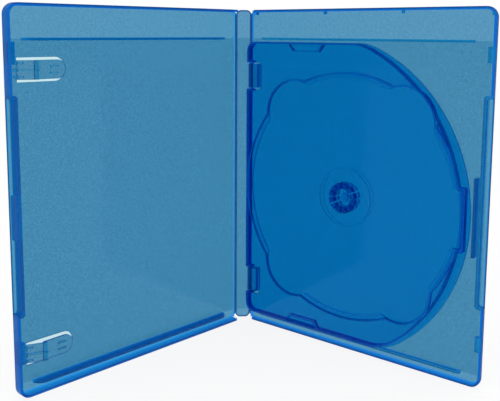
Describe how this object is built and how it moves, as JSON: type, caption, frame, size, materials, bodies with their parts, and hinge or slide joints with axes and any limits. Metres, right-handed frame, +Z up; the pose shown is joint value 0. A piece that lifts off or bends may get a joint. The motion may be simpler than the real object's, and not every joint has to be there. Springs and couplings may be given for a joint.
{
  "type": "hinged video disc case",
  "caption": "Translucent blue hinged case for 12 cm video discs, standing open like a book, with a swinging disc tray and booklet clips.",
  "frame": {"origin": "middle of the open case's footprint, on the surface it stands on", "axes": "+Z up along the spine, +X across the open covers toward the back cover, +Y from the opening toward the spine"},
  "size_m": [0.2088, 0.0992, 0.1715],
  "materials": {
    "shell_plastic": "glossy translucent blue polypropylene",
    "tray_plastic": "glossy translucent blue polypropylene",
    "clear_film": "clear glossy film"
  },
  "bodies": {
    "back": {"back_cover": "shell_plastic", "sleeve_back": "clear_film"},
    "spine": {"spine": "shell_plastic", "sleeve_spine": "clear_film"},
    "front": {"front_cover": "shell_plastic", "sleeve_front": "clear_film"},
    "tray": {"disc_tray": "tray_plastic"},
    "upper_clip": {"upper_booklet_clip": "shell_plastic"},
    "lower_clip": {"lower_booklet_clip": "shell_plastic"}
  },
  "joints": [
    {"name": "back_hinge", "type": "hinge", "parent": "back", "child": "spine", "pos_m": [0.00445, 0.04881, 0.08575], "axis": [0, 0, -1], "range_deg": [-46.8, 43.2]},
    {"name": "front_hinge", "type": "hinge", "parent": "spine", "child": "front", "pos_m": [-0.00445, 0.04881, 0.08575], "axis": [0, 0, -1], "range_deg": [-46.8, 43.2]},
    {"name": "tray_hinge", "type": "hinge", "parent": "back", "child": "tray", "pos_m": [0.00455, 0.04453, 0.0803], "axis": [0, 0, -1], "range_deg": [0, 85]},
    {"name": "upper_clip_bend", "type": "hinge", "parent": "front", "child": "upper_clip", "pos_m": [-0.09995, -0.04086, 0.1434], "axis": [0, 0, -1], "range_deg": [0, 7], "stiffness_Nm_per_rad": 0.05},
    {"name": "lower_clip_bend", "type": "hinge", "parent": "front", "child": "lower_clip", "pos_m": [-0.09995, -0.04086, 0.0178], "axis": [0, 0, -1], "range_deg": [0, 7], "stiffness_Nm_per_rad": 0.05}
  ]
}
